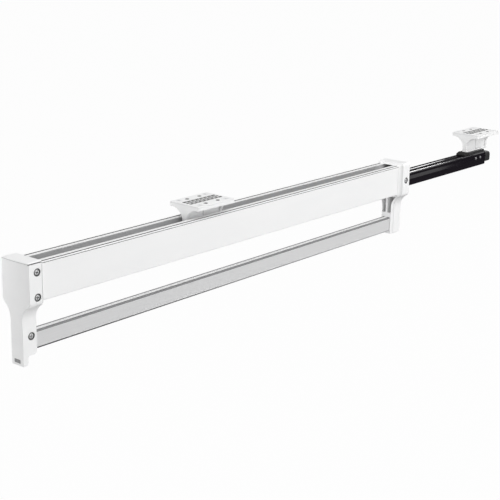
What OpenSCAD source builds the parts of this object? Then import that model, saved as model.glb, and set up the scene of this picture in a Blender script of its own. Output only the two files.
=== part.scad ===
// Pull-out clothes rail for the top of a wardrobe, drawn part open.
// Millimetres. X runs across, +Y runs back into the wardrobe, Z runs up.
// Z = 0 is the underside of the shelf, and the origin is the centre of the front mount.

/* [Channel body] */
// Outer width of the sliding channel
body_w = 26; // [25:0.5:30]
// Outer height of the sliding channel
body_h = 32; // [31:0.5:40]
// Length of channel that shows between the two brackets
body_len = 504; // [440:1:640]
// Wall thickness of the channel
body_wall = 1.6; // [1.2:0.1:2]
// Floor thickness of the channel
floor_t = 1.8; // [1.6:0.1:2.2]
// Thickness of the two lips beside the slot
lip_t = 2.2; // [1.8:0.1:3]
// Width of the slot along the top
slot_w = 12.6; // [11:0.1:14]

/* [Place under the shelf] */
// Gap from the shelf down to the top of the channel
shelf_gap = 13; // [12:0.5:20]
// Distance from the front mount forward to the front bracket
front_reach = 202; // [120:1:240]
// Distance between the centres of the two mounts
mount_pitch = 484; // [470:1:640]

/* [Fixed rail] */
// Outer width of the black rail
rail_w = 17.5; // [17:0.1:19]
// Outer height of the black rail
rail_h = 15; // [14.5:0.1:17]
// Wall thickness of the rail
rail_wall = 1.5; // [1.2:0.1:1.7]
// Height of the rail above the underside of the channel
rail_lift = 4.8; // [4:0.1:6]
// Length of rail in front of the front mount's centre
rail_front = 30; // [26:1:60]
// Length of rail behind the rear mount's centre
rail_rear = 12; // [11:1:40]

/* [Travel] */
// Room between the front mount and the stop that ends the pull
stop_room = 49.8; // [40:0.1:120]

/* [Mount plates] */
// Width of a mount plate
plate_w = 34.6; // [33:0.1:40]
// Length of a mount plate
plate_l = 48.6; // [46:0.1:60]
// Thickness of the plate under its pad
plate_t = 2.9; // [2.7:0.1:4]
// Thickness of the pad on top
pad_t = 1.4; // [1.2:0.1:2]
// Radius of the four holes for the shelf screws
mount_hole_r = 2; // [1.7:0.05:2.2]
// Distance between the shelf screws across
mount_x = 22.6; // [21:0.1:26]
// Distance between the shelf screws along
mount_y = 16.2; // [14:0.1:20]
// Thickness of the upright web
web_t = 4.8; // [4.4:0.1:5.6]

/* [Brackets and bar] */
// Depth of the front bracket, front to back
front_d = 14.7; // [13.5:0.1:20]
// Depth of the rear bracket, front to back
rear_d = 15.5; // [14.5:0.1:20]
// Wall of a bracket beside the channel
block_wall = 3.5; // [3:0.1:5]
// Height of a bracket above the channel
block_over = 2.3; // [1.8:0.1:4]
// Height of a bracket below the channel
block_under = 1.6; // [1.4:0.1:3]
// Height of the curved neck under a bracket
neck_h = 13.2; // [11:0.1:16]
// Clear height for hanger hooks between channel and bar
hook_gap = 26.8; // [24:0.1:40]
// Width of the hanging bar
bar_w = 9; // [8.6:0.1:12]
// Height of the hanging bar
bar_h = 15.1; // [14:0.1:20]
// Wall of a leg beside the bar
leg_wall = 2.6; // [2.2:0.1:4]
// Height of a leg below the bar
leg_under = 2.9; // [2.6:0.1:6]
// Length of the finger grip below the front leg
grip_drop = 7.9; // [6:0.1:20]
// Depth of the finger grip, front to back
grip_d = 5.6; // [5:0.1:8]

/* [Hidden] */
$fn = 64;
// Overrun of every cut past the face that it opens
over = 1;
// Clearance of a seated part, and of a screw in its hole
fit = 0.1;
screw_fit = 0.05;
// Gap between a buffer and what stops on it
stop_gap = 0.3;

// Channel details
body_corner = 1;
lip_chamfer = 1.4;
groove_w = 0.9;
groove_d = 0.6;
groove_shares = [0.5, 0.84];
lip_w = (body_w - slot_w) / 2 - lip_chamfer;

// Heights
top_z = -shelf_gap;
body_z = top_z - body_h;
rail_z = body_z + rail_lift;
rail_top = rail_z + rail_h;
bar_top = body_z - hook_gap;
bar_z = bar_top - bar_h;
leg_z = bar_z - leg_under;
grip_z = leg_z - grip_drop;
block_top = top_z + block_over;
shoulder_z = body_z - block_under;

// Places along the rail
front_y = -front_reach;
rear_y = front_y + body_len;
rear_end = rear_y + rear_d;
rail_y0 = -rail_front;
rail_y1 = mount_pitch + rail_rear;

// Brackets: sockets for channel and bar, front bulge, corner radii
block_w = body_w + 2 * block_wall;
leg_w = bar_w + 2 * leg_wall;
front_socket = 10;
rear_socket = 12.4;
bar_socket = 9;
bulge = 0.9;
bulge_r = (pow(block_w / 2, 2) + bulge * bulge) / (2 * bulge);
neck_dx = (block_w - leg_w) / 2;
neck_r = (neck_dx * neck_dx + neck_h * neck_h) / (2 * neck_dx);
neck_z = shoulder_z - neck_h;
top_corner = 2.2;
foot_corner = 3.6;
grip_corner = 3;
flare_d = 4;
sleeve_t = 0.9;

// Rear leg pockets
pocket_wall = 1.5;
pocket_back = 2.6;
pocket_rib = 1.9;
pocket_top = 2.2;
pocket_bar_gap = 5.4;

// Rail opening in the rear bracket
rail_gap = 0.6;

// Side screws: pan head in a shallow recess
side_r = 1.75;
side_head_r = 3.2;
side_head_h = 1.8;
side_recess = 1.5;
side_recess_r = 3.4;
side_tip = 1.2;
front_screw_back = 5.4;
upper_screw_drop = 6.4;
lower_screw_rise = 5.1;
bar_screw_drop = 2.2;
rear_screw_rise = 15;
rear_screw_in = 6.2;

// Ball slide
race_gap = 3.15;
ball_d = 4;
race_clear = 0.05;
ball_pitch = 8;
lip_in = 2.2;
lip_room = 1.7;
head_room = 3.6;
neck_w = 5;
flange_w = 16;
flange_t = 1.6;
runner_inset = 8;
cage_l = 110;
cage_t = 0.8;
cage_over = 0.6;
cage_skirt = 0.6;
cage_clear = 0.12;
rail_in = rail_w / 2 - rail_wall;
head_half = rail_in - race_gap;
race_x = (rail_in + head_half) / 2;
head_z0 = rail_z + rail_wall + lip_room;
head_z1 = rail_top - rail_wall - head_room;
race_z = (head_z0 + head_z1) / 2;
runner_y0 = front_y + runner_inset;
runner_y1 = rear_y - runner_inset;
cage_y = (rail_y0 + runner_y1) / 2;
runner_screws = 5;
runner_head_r = 2.9;
runner_head_h = 1.5;
runner_shank_r = 1.5;
runner_bite = 3.4;
rail_corner = 2.4;

// Mount plate details
gusset_dx = 12.6;
gusset_h = 9.6;
gusset_t = 3.4;
mid_gusset_t = 2;
mid_gusset_dx = 2.2;
mid_gusset_h = 2.2;
core_t = 3.2;
plate_z = -pad_t - plate_t;
pad_edge = 0.35;
slot_hole_w = 3.4;
slot_hole_l = 2.3;
slot_depth = 3.4;
slot_rows = 3;
slot_columns = 8;
slot_pitch_x = 5.2;
slot_pitch_y = 5.6;
corner_inset_x = 4.5;
corner_inset_y = 6.8;
pad_head_r = 2.5;
pad_head_h = 1.1;
pad_shank_r = 1.1;
pad_screw_l = 3.8;
cross_l_share = 1.15;
cross_w_share = 0.3;
cross_d = 0.7;

// Saddle between rail and web, and the screws that hold the web down
saddle_w = 13;
saddle_h = 3;
saddle_l = 36;
saddle_groove = 1;
saddle_y = saddle_l / 2 - plate_l / 2;
stem_screw_pitch = 20;
stem_r = 1.5;
stem_head_r = 2.7;
stem_head_h = 2;
stem_bite = 7;
web_z = rail_top + saddle_h - saddle_groove;

// Stops
buffer_l = 7.4;
buffer_w = 12;
buffer_h = 3.6;
tab_l = 14;
tab_w = 11;
tab_h = 6;
tab_rise = 1.4;
pad_l = 1.6;
stop_l = 12;
stop_w = 12;
stop_h = 8;
stop_screw_r = 1.5;
stop_head_r = 2.7;
stop_head_h = 1.8;
rivet_r = 2;
rivet_gap = 0.4;
rivet_inset = 3.6;
tab_y = rear_y - tab_l;
stop_y = plate_l / 2 + stop_room + stop_l;
open_travel = tab_y - pad_l - stop_gap - stop_y;
close_travel = mount_pitch - plate_l / 2 - buffer_l - stop_gap - rear_end;

// End plug of the rail
plug_in = 26;
plug_out = 11;
plug_notch = 2.6;
plug_nose_r = 5;
plug_rivet_r = 1.7;
plug_rivet_pitch = 10;
plug_rivet_bite = 2.6;
plug_rivet_head = 0.35;
plug_rivet_rise = 9.6;

// Bar details
bar_corner = 2;
bar_wall = 1.2;
bar_band = 5;
bar_port_r = 1.45;
strip_w = 5;
strip_h = 1.7;
strip_over = 0.3;
line_w = 0.8;
line_d = 0.35;
line_rise = 1.6;
bar_end_r = 1.4;
bar_end_head_r = 2.9;
bar_end_head_h = 1.8;
bar_end_l = 9;

// Badge on the grip, left blank
badge_w = 7;
badge_h = 3;
badge_t = 0.6;
badge_sink = 0.45;
badge_rise = 2.2;

echo(close_travel_mm = close_travel, open_travel_mm = open_travel);

// Extrudes an outline drawn in X and Z along Y
module along(y0, y1) {
    translate([0, y1, 0]) rotate([90, 0, 0]) linear_extrude(height = y1 - y0) children();
}

// Extrudes an outline drawn in Y and Z across X, centred
module across(w) {
    rotate([90, 0, 90]) linear_extrude(height = w, center = true) children();
}

// Rectangle with round corners, centred in X and standing on its base
module rounded(w, h, r) {
    translate([r - w / 2, 0]) square([w - 2 * r, h]);
    translate([-w / 2, r]) square([w, h - 2 * r]);
    for (x = [r - w / 2, w / 2 - r], y = [r, h - r]) translate([x, y]) circle(r);
}

// Square corner with a quarter circle taken out, for rounding an edge
module corner_cut(r) {
    difference() {
        translate([-over, -over]) square(r + over);
        translate([r, r]) circle(r);
    }
}

// Cross for a screwdriver, cut from a head whose top is at Z = 0
module cross_cut(r) {
    for (a = [0, 90]) {
        rotate([0, 0, a]) translate([0, 0, over / 2 - cross_d / 2])
            cube([r * cross_l_share, r * cross_w_share, cross_d + over], center = true);
    }
}

// Screw with a domed head, head seat at Z = 0, shank down
module pan_screw(head_r, head_h, shank_r, shank_l) {
    difference() {
        rotate_extrude() {
            polygon([
                [0, -shank_l], [shank_r, -shank_l], [shank_r, 0], [head_r, 0], [head_r, head_h * 0.4],
                [head_r * 0.9, head_h * 0.75], [head_r * 0.66, head_h], [0, head_h]
            ]);
        }
        translate([0, 0, head_h]) cross_cut(head_r);
    }
}

// Screw with a flush cone head, head top at Z = 0
module flush_screw(head_r, head_h, shank_r, shank_l) {
    difference() {
        rotate_extrude() {
            polygon([[0, -shank_l], [shank_r, -shank_l], [shank_r, -head_h], [head_r, 0], [0, 0]]);
        }
        cross_cut(head_r);
    }
}

// Seat of a flush screw, with the same cone and room round the shank
module flush_seat(head_r, head_h, shank_r, depth) {
    rotate_extrude() {
        polygon([
            [0, -depth], [shank_r + screw_fit, -depth], [shank_r + screw_fit, -head_h],
            [head_r + screw_fit, 0], [head_r + screw_fit, over], [0, over]
        ]);
    }
}

// Outline of the channel, base on Z = 0
module body_outline() {
    difference() {
        union() {
            rounded(body_w, body_h / 2, body_corner);
            polygon([
                [-body_w / 2, body_corner], [body_w / 2, body_corner], [body_w / 2, body_h - lip_chamfer],
                [body_w / 2 - lip_chamfer, body_h], [lip_chamfer - body_w / 2, body_h],
                [-body_w / 2, body_h - lip_chamfer]
            ]);
        }
        translate([body_wall - body_w / 2, floor_t]) square([body_w - 2 * body_wall, body_h - floor_t - lip_t]);
        translate([-slot_w / 2, body_h / 2]) square([slot_w, body_h]);
        for (side = [-1, 1], share = groove_shares) {
            translate([side * (slot_w / 2 + share * lip_w) - groove_w / 2, body_h - groove_d])
                square([groove_w, groove_d + over]);
        }
    }
}

// Places of the side screws: along Y, up Z, and the face that they stand on in X
function front_screw_places() = [
    [front_y - front_screw_back, top_z - upper_screw_drop, block_w / 2],
    [front_y - front_screw_back, body_z + lower_screw_rise, block_w / 2],
    [front_y - front_screw_back, bar_top - bar_screw_drop, leg_w / 2]
];
function rear_screw_places() = [[rear_end - rear_screw_in, body_z + rear_screw_rise, block_w / 2]];
function side_shank(face) = face == block_w / 2
    ? block_wall + body_wall - side_recess + side_tip
    : leg_wall - side_recess + bar_wall + side_tip / 2;

// Puts children on each side screw seat, on both sides, with Z out of the seat
module on_side_seats(places) {
    for (p = places, side = [-1, 1]) {
        translate([side * (p[2] - side_recess), p[0], p[1]]) rotate([0, side * 90, 0]) children();
    }
}

module side_screws(places) {
    for (p = places) {
        on_side_seats([p]) pan_screw(side_head_r, side_head_h, side_r, side_shank(p[2]));
    }
}

module side_holes(places) {
    for (p = places) {
        on_side_seats([p]) {
            cylinder(h = side_recess + over, r = side_recess_r);
            translate([0, 0, -side_shank(p[2]) - screw_fit])
                cylinder(h = side_shank(p[2]) + over, r = side_r + screw_fit);
        }
    }
}

// Outline of a bracket: block, curved neck and leg
module bracket_outline() {
    difference() {
        translate([-block_w / 2, neck_z]) square([block_w, block_top - neck_z]);
        for (side = [-1, 1]) translate([side * (leg_w / 2 + neck_r), neck_z]) circle(neck_r, $fn = 96);
        for (side = [0, 1]) {
            mirror([side, 0]) translate([block_w / 2, block_top]) rotate(180) corner_cut(top_corner);
        }
    }
    translate([-leg_w / 2, leg_z]) square([leg_w, neck_z - leg_z + fit]);
}

module body_room(y0, y1) {
    translate([0, 0, body_z - fit]) along(y0, y1)
        translate([-body_w / 2 - fit, 0]) square([body_w + 2 * fit, body_h + 2 * fit]);
}

module bar_room(y0, y1) {
    translate([0, 0, bar_z - fit]) along(y0, y1)
        rounded(bar_w + 2 * fit, bar_h + strip_over + 2 * fit, bar_corner);
}

module front_bracket() {
    front_face = front_y - front_d;
    color("whitesmoke") difference() {
        intersection() {
            union() {
                along(front_face, front_y) bracket_outline();
                along(front_face, front_face + grip_d)
                    translate([-leg_w / 2, grip_z]) square([leg_w, leg_z - grip_z + fit]);
            }
            translate([0, front_face + bulge_r, grip_z - over])
                cylinder(h = block_top - grip_z + 2 * over, r = bulge_r, $fn = 128);
        }
        translate([0, front_y, leg_z]) across(leg_w + over) rotate(90) corner_cut(foot_corner);
        translate([0, front_face + grip_d, grip_z]) across(leg_w + over) rotate(90) corner_cut(grip_corner);
        body_room(front_y - front_socket - fit, front_y + over);
        bar_room(front_y - bar_socket - fit, front_y + over);
        side_holes(front_screw_places());
        translate([0, 0, grip_z + badge_rise - fit]) along(front_face - over, front_face + badge_sink)
            translate([-badge_w / 2 - fit, 0]) square([badge_w + 2 * fit, badge_h + 2 * fit]);
    }
}

module front_bracket_screws() {
    color("silver") side_screws(front_screw_places());
}

module grip_badge() {
    floor_y = front_y - front_d + badge_sink;
    color("lightgray") translate([0, 0, grip_z + badge_rise]) along(floor_y - badge_t, floor_y)
        translate([-badge_w / 2, 0]) square([badge_w, badge_h]);
}

// Pocket in the front of the rear leg, on the +X side
module pocket_outline() {
    difference() {
        translate([pocket_rib / 2, bar_top + pocket_bar_gap])
            square([block_w / 2, shoulder_z - pocket_top - bar_top - pocket_bar_gap]);
        translate([leg_w / 2 + neck_r, neck_z]) circle(neck_r + pocket_wall, $fn = 96);
        translate([leg_w / 2 - pocket_wall, leg_z]) square([block_w, neck_z - leg_z]);
    }
}

module rear_bracket() {
    color("whitesmoke") difference() {
        intersection() {
            along(rear_y, rear_end) bracket_outline();
            translate([0, 0, leg_z - over]) linear_extrude(height = block_top - leg_z + 2 * over)
                polygon([
                    [-body_w / 2 - sleeve_t, rear_y], [body_w / 2 + sleeve_t, rear_y],
                    [block_w / 2, rear_y + flare_d], [block_w / 2, rear_end],
                    [-block_w / 2, rear_end], [-block_w / 2, rear_y + flare_d]
                ]);
        }
        body_room(rear_y - over, rear_y + rear_socket + fit);
        bar_room(rear_y - over, rear_y + bar_socket + fit);
        along(rear_y, rear_end + over) rail_shape(rail_gap);
        along(rear_y - over, rear_end - pocket_back) {
            pocket_outline();
            mirror([1, 0]) pocket_outline();
        }
        side_holes(rear_screw_places());
        translate([0, rear_y, (bar_z + bar_top) / 2]) rotate([-90, 0, 0])
            cylinder(h = rear_d + over, r = bar_end_r + screw_fit);
    }
    color("whitesmoke") translate([0, 0, rail_top + tab_rise]) along(tab_y, rear_y + rear_socket + 2 * fit)
        translate([-tab_w / 2, 0]) square([tab_w, tab_h]);
}

module rear_bracket_screws() {
    color("silver") side_screws(rear_screw_places());
}

module rear_bar_screw() {
    color("silver") translate([0, rear_end, (bar_z + bar_top) / 2]) rotate([-90, 0, 0])
        pan_screw(bar_end_head_r, bar_end_head_h, bar_end_r, rear_d - bar_socket + bar_end_l / 2);
}

module opening_pad() {
    color("dimgray") translate([0, 0, rail_top + tab_rise]) along(tab_y - pad_l, tab_y)
        rounded(tab_w, tab_h, pad_l);
}

// Outline of the hanging bar: hollow, with a screw port and a channel for the strip
module bar_outline() {
    chamber_z = bar_wall;
    chamber_h = (bar_h - strip_h - 2 * bar_wall - bar_band) / 2;
    difference() {
        rounded(bar_w, bar_h, bar_corner);
        translate([0, bar_h / 2]) circle(bar_port_r);
        translate([-strip_w / 2, bar_h - strip_h]) square([strip_w, strip_h + over]);
        translate([bar_wall - bar_w / 2, chamber_z]) square([bar_w - 2 * bar_wall, chamber_h]);
        translate([bar_wall - bar_w / 2, bar_h - strip_h - bar_wall - chamber_h])
            square([bar_w - 2 * bar_wall, chamber_h]);
        for (side = [-1, 1]) {
            translate([side * bar_w / 2 - line_d, line_rise]) square([2 * line_d, line_w]);
        }
    }
}

module hanging_bar() {
    color("silver") difference() {
        translate([0, 0, bar_z]) along(front_y - bar_socket, rear_y + bar_socket) bar_outline();
        side_holes(front_screw_places());
        translate([0, rear_y + bar_socket - bar_end_l, bar_z + bar_h / 2]) rotate([-90, 0, 0])
            cylinder(h = bar_end_l + over, r = bar_end_r + screw_fit);
    }
}

module bar_strip() {
    color("gainsboro") translate([0, 0, bar_top - strip_h]) along(front_y - bar_socket, rear_y + bar_socket)
        translate([fit / 2 - strip_w / 2, 0]) square([strip_w - fit, strip_h + strip_over]);
}

module body_profile() {
    color("whitesmoke") difference() {
        translate([0, 0, body_z]) along(front_y - front_socket, rear_y + rear_socket) body_outline();
        side_holes(front_screw_places());
        side_holes(rear_screw_places());
        for (y = runner_screw_places()) translate([0, y, body_z]) rotate([180, 0, 0])
            flush_seat(runner_head_r, runner_head_h, runner_shank_r, floor_t + over);
    }
}

function runner_screw_places() = [
    for (i = [0:runner_screws - 1]) runner_y0 + (runner_y1 - runner_y0) * (i + 0.5) / runner_screws
];

// Outline of the sliding member that stands on the channel's floor
module runner_outline() {
    difference() {
        union() {
            translate([-flange_w / 2, body_z + floor_t]) square([flange_w, flange_t]);
            translate([-neck_w / 2, body_z + floor_t]) square([neck_w, head_z1 - body_z - floor_t]);
            translate([-head_half, head_z0]) square([2 * head_half, head_z1 - head_z0]);
        }
        for (side = [-1, 1]) translate([side * race_x, race_z]) circle(ball_d / 2 + race_clear);
    }
}

module runner() {
    color("lightsteelblue") difference() {
        along(runner_y0, runner_y1) runner_outline();
        for (y = runner_screw_places()) translate([0, y, body_z])
            cylinder(h = floor_t + runner_bite, r = runner_shank_r + screw_fit);
    }
}

module runner_screws() {
    color("silver") for (y = runner_screw_places()) translate([0, y, body_z]) rotate([180, 0, 0])
        flush_screw(runner_head_r, runner_head_h, runner_shank_r, floor_t + runner_bite - screw_fit);
}

// Outer shape of the rail, round at the top, grown by a gap all round
module rail_shape(gap) {
    translate([0, rail_z - gap]) rounded(rail_w + 2 * gap, rail_h + 2 * gap, rail_corner);
    translate([-rail_w / 2 - gap, rail_z - gap]) square([rail_w + 2 * gap, rail_h / 2]);
}

// Outline of the fixed rail: a channel that opens downwards, with a ball track in each wall
module rail_outline() {
    difference() {
        rail_shape(0);
        translate([-rail_in, rail_z + rail_wall]) square([2 * rail_in, rail_h - 2 * rail_wall]);
        translate([lip_in - rail_in, rail_z - over]) square([2 * (rail_in - lip_in), rail_h / 2]);
        for (side = [-1, 1]) translate([side * race_x, race_z]) circle(ball_d / 2 + race_clear);
    }
}

function plug_rivet_places() = [
    for (i = [0, 1]) rail_y1 - plug_rivet_pitch * (i + 1) - plug_rivet_r
];

module on_plug_rivets() {
    for (y = plug_rivet_places(), side = [-1, 1]) {
        translate([side * rail_w / 2, y, rail_z + plug_rivet_rise]) rotate([0, side * 90, 0]) children();
    }
}

module fixed_rail() {
    color("black") difference() {
        along(rail_y0, rail_y1) rail_outline();
        for (mount = [0, mount_pitch]) on_stem_screws(mount)
            translate([0, 0, -over]) cylinder(h = rail_wall + 2 * over, r = stem_r + screw_fit);
        on_plug_rivets() translate([0, 0, -rail_wall - over])
            cylinder(h = rail_wall + 2 * over, r = plug_rivet_r + screw_fit);
        translate([0, stop_y - stop_l / 2, rail_top - rail_wall - over])
            cylinder(h = rail_wall + 2 * over, r = stop_screw_r + screw_fit);
        translate([0, rail_y0 + rivet_inset, rail_top - rail_wall - over])
            cylinder(h = rail_wall + 2 * over, r = rivet_r / 2 + screw_fit);
    }
}

// Puts children on the underside of the rail's web, at the screws of one mount, with Z up
module on_stem_screws(mount) {
    for (side = [-1, 1]) {
        translate([0, mount + saddle_y + side * stem_screw_pitch / 2, rail_top - rail_wall]) children();
    }
}

module stem_screws(mount) {
    on_stem_screws(mount) rotate([180, 0, 0])
        pan_screw(stem_head_r, stem_head_h, stem_r, rail_wall + saddle_h + stem_bite);
}

module saddle(mount) {
    difference() {
        translate([0, mount + saddle_y, rail_top + saddle_h / 2])
            cube([saddle_w, saddle_l, saddle_h], center = true);
        translate([0, mount, web_z + saddle_h / 2]) cube([web_t + 2 * fit, plate_l + over, saddle_h], center = true);
        on_stem_screws(mount) cylinder(h = rail_wall + saddle_h + over, r = stem_r + screw_fit);
    }
}

// Plate, web and ribs of one mount in one casting
module gusset(dx, h) {
    r = (dx * dx + h * h) / (2 * h);
    difference() {
        translate([-web_t / 2 - dx, plate_z - h]) square([web_t + 2 * dx, h + fit]);
        for (side = [-1, 1]) translate([side * (web_t / 2 + dx), plate_z - r]) circle(r, $fn = 96);
    }
}

module shelf_holes(mount, depth) {
    for (x = [-mount_x / 2, mount_x / 2], y = [-mount_y / 2, mount_y / 2]) {
        translate([x, mount + y, -depth]) cylinder(h = depth + over, r = mount_hole_r);
    }
}

module slot_grid(mount) {
    for (i = [0:slot_rows - 1], j = [0:slot_columns - 1]) {
        translate([
            (i - (slot_rows - 1) / 2) * slot_pitch_x, mount + (j - (slot_columns - 1) / 2) * slot_pitch_y,
            (over - slot_depth) / 2
        ]) cube([slot_hole_w, slot_hole_l, slot_depth + over], center = true);
    }
}

module on_pad_corners(mount) {
    for (x = [-1, 1], y = [-1, 1]) {
        translate([x * (plate_w / 2 - corner_inset_x), mount + y * (plate_l / 2 - corner_inset_y), 0]) children();
    }
}

module mount_bracket(mount) {
    y0 = mount - plate_l / 2;
    y1 = mount + plate_l / 2;
    mid_y = mount - mid_gusset_t / 2;
    difference() {
        union() {
            translate([-plate_w / 2, y0, plate_z]) cube([plate_w, plate_l, plate_t]);
            translate([-core_t / 2, y0, web_z]) cube([core_t, plate_l, plate_z - web_z + fit]);
            for (y = [y0, y1 - gusset_t]) {
                translate([-web_t / 2, y, web_z]) cube([web_t, gusset_t, plate_z - web_z + fit]);
                along(y, y + gusset_t) gusset(gusset_dx, gusset_h);
            }
            translate([-web_t / 2, mid_y, web_z]) cube([web_t, mid_gusset_t, plate_z - web_z + fit]);
            along(mid_y, mid_y + mid_gusset_t) gusset(mid_gusset_dx, mid_gusset_h);
            translate([-web_t / 2, y0, web_z]) cube([web_t, plate_l, saddle_groove + fit]);
        }
        shelf_holes(mount, pad_t + plate_t + over);
        slot_grid(mount);
        on_pad_corners(mount) translate([0, 0, -pad_screw_l - screw_fit])
            cylinder(h = pad_screw_l + over, r = pad_shank_r + screw_fit);
        on_stem_screws(mount) cylinder(h = rail_wall + saddle_h + stem_bite + screw_fit, r = stem_r + screw_fit);
    }
}

module mount_pad(mount) {
    difference() {
        translate([0, mount, 0]) union() {
            translate([0, 0, -pad_t / 2 - pad_edge / 2])
                cube([plate_w, plate_l, pad_t - pad_edge], center = true);
            translate([0, 0, -pad_t / 2])
                cube([plate_w - 2 * pad_edge, plate_l - 2 * pad_edge, pad_t], center = true);
        }
        shelf_holes(mount, pad_t + over);
        slot_grid(mount);
        on_pad_corners(mount) flush_seat(pad_head_r, pad_head_h, pad_shank_r, pad_t + over);
    }
}

module pad_screws(mount) {
    on_pad_corners(mount) flush_screw(pad_head_r, pad_head_h, pad_shank_r, pad_screw_l);
}

module front_mount_bracket() { color("whitesmoke") mount_bracket(0); }
module front_mount_pad() { color("white") mount_pad(0); }
module front_pad_screws() { color("silver") pad_screws(0); }
module front_saddle() { color("dimgray") saddle(0); }
module front_stem_screws() { color("silver") stem_screws(0); }
module rear_mount_bracket() { color("whitesmoke") mount_bracket(mount_pitch); }
module rear_mount_pad() { color("white") mount_pad(mount_pitch); }
module rear_pad_screws() { color("silver") pad_screws(mount_pitch); }
module rear_saddle() { color("dimgray") saddle(mount_pitch); }
module rear_stem_screws() { color("silver") stem_screws(mount_pitch); }

module rail_end_plug() {
    inner_h = rail_h - 2 * rail_wall - head_room;
    color("darkslategray") difference() {
        union() {
            translate([0, 0, rail_z + rail_wall]) along(rail_y1 - plug_in, rail_y1 + fit)
                translate([fit - rail_in, 0]) square([2 * (rail_in - fit), inner_h]);
            translate([0, 0, rail_z + plug_notch]) along(rail_y1, rail_y1 + plug_out)
                rounded(rail_w, rail_h - plug_notch, rail_corner);
        }
        translate([0, rail_y1 + plug_out, rail_top]) across(rail_w + over) rotate(180) corner_cut(plug_nose_r);
        on_plug_rivets() translate([0, 0, -rail_wall - plug_rivet_bite - screw_fit])
            cylinder(h = rail_wall + plug_rivet_bite + over, r = plug_rivet_r + screw_fit);
    }
}

module end_plug_rivets() {
    color("gray") on_plug_rivets() translate([0, 0, -rail_wall - plug_rivet_bite])
        cylinder(h = rail_wall + plug_rivet_bite + plug_rivet_head, r = plug_rivet_r);
}

module cage_stop_rivet() {
    drop = head_room - rivet_gap;
    color("silver") translate([0, rail_y0 + rivet_inset, rail_top - rail_wall]) {
        translate([0, 0, -drop]) cylinder(h = drop, r = rivet_r);
        cylinder(h = rail_wall, r = rivet_r / 2);
    }
}

module closing_buffer() {
    y1 = mount_pitch - plate_l / 2;
    color("dimgray") translate([0, 0, rail_top]) along(y1 - buffer_l, y1)
        rounded(buffer_w, buffer_h, pad_l);
}

module opening_stop() {
    color("dimgray") difference() {
        translate([0, 0, rail_top]) along(stop_y - stop_l, stop_y)
            rounded(stop_w, stop_h, pad_l);
        translate([0, stop_y - stop_l / 2, rail_top - over])
            cylinder(h = stop_h + over - stop_head_h, r = stop_screw_r + screw_fit);
    }
}

module opening_stop_screw() {
    color("silver") translate([0, stop_y - stop_l / 2, rail_top - rail_wall]) rotate([180, 0, 0])
        pan_screw(stop_head_r, stop_head_h, stop_screw_r, rail_wall + stop_h - 2 * stop_head_h);
}

function ball_places() = [
    for (y = [cage_y - cage_l / 2 + ball_pitch / 2 : ball_pitch : cage_y + cage_l / 2 - ball_pitch / 2]) y
];

module ball_cage() {
    top = head_z1 + cage_over;
    side_in = race_x - cage_t / 2;
    color("goldenrod") difference() {
        along(cage_y - cage_l / 2, cage_y + cage_l / 2) difference() {
            translate([-side_in - cage_t, head_z0 + cage_skirt])
                square([2 * (side_in + cage_t), top + cage_t - head_z0 - cage_skirt]);
            translate([-side_in, head_z0]) square([2 * side_in, top - head_z0]);
        }
        for (y = ball_places()) translate([0, y, race_z]) rotate([0, 90, 0])
            cylinder(h = rail_w, r = ball_d / 2 + cage_clear, center = true);
    }
}

module slide_balls() {
    color("silver") for (y = ball_places(), side = [-1, 1]) translate([side * race_x, y, race_z])
        sphere(d = ball_d);
}

front_mount_bracket();
front_mount_pad();
front_pad_screws();
front_saddle();
front_stem_screws();
rear_mount_bracket();
rear_mount_pad();
rear_pad_screws();
rear_saddle();
rear_stem_screws();
fixed_rail();
rail_end_plug();
end_plug_rivets();
cage_stop_rivet();
closing_buffer();
opening_stop();
opening_stop_screw();
ball_cage();
slide_balls();
body_profile();
runner();
runner_screws();
front_bracket();
front_bracket_screws();
grip_badge();
rear_bracket();
rear_bracket_screws();
opening_pad();
hanging_bar();
bar_strip();
rear_bar_screw();
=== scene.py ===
import math

import bmesh
import bpy
from mathutils import Matrix, Vector


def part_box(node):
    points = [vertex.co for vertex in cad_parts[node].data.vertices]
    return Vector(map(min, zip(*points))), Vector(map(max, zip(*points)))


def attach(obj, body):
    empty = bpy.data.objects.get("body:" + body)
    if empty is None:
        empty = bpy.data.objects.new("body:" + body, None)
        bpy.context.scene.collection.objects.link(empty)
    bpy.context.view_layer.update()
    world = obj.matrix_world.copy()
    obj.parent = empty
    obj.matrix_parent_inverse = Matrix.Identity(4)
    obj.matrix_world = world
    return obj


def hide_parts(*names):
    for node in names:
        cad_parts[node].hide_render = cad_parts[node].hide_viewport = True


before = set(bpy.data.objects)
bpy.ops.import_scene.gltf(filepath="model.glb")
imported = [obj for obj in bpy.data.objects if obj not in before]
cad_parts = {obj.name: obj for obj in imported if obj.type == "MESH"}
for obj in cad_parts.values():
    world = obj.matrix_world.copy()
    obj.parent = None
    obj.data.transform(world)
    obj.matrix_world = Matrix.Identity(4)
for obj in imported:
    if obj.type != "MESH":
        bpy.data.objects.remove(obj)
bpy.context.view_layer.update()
scene = bpy.context.scene
scene.view_settings.view_transform = "Standard"

# Camera. It stands to the right of the pull-out end, a little above the shelf line, and looks back
# along the slide, as the photograph does.
right = Vector((0.76349, 0.64563, 0.01581))
down = Vector((0.18833, -0.19915, -0.96170))
forward = Vector((-0.61775, 0.73723, -0.27364))
camera = bpy.data.objects.new("camera", bpy.data.cameras.new("camera"))
camera.data.sensor_width = 36
camera.data.lens = 87.82
camera.matrix_world = Matrix.Translation((0.72158, -0.79316, 0.25813)) @ Matrix(
    (right, -down, -forward)
).transposed().to_4x4()
scene.collection.objects.link(camera)
scene.camera = camera


# Mount castings. Each is one moulding: a plate, an upright web with hollow sides and a curved rib at
# each end. They are glass-filled nylon, white all through, with the fine grain of an eroded mould.
mm = 0.001


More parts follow.
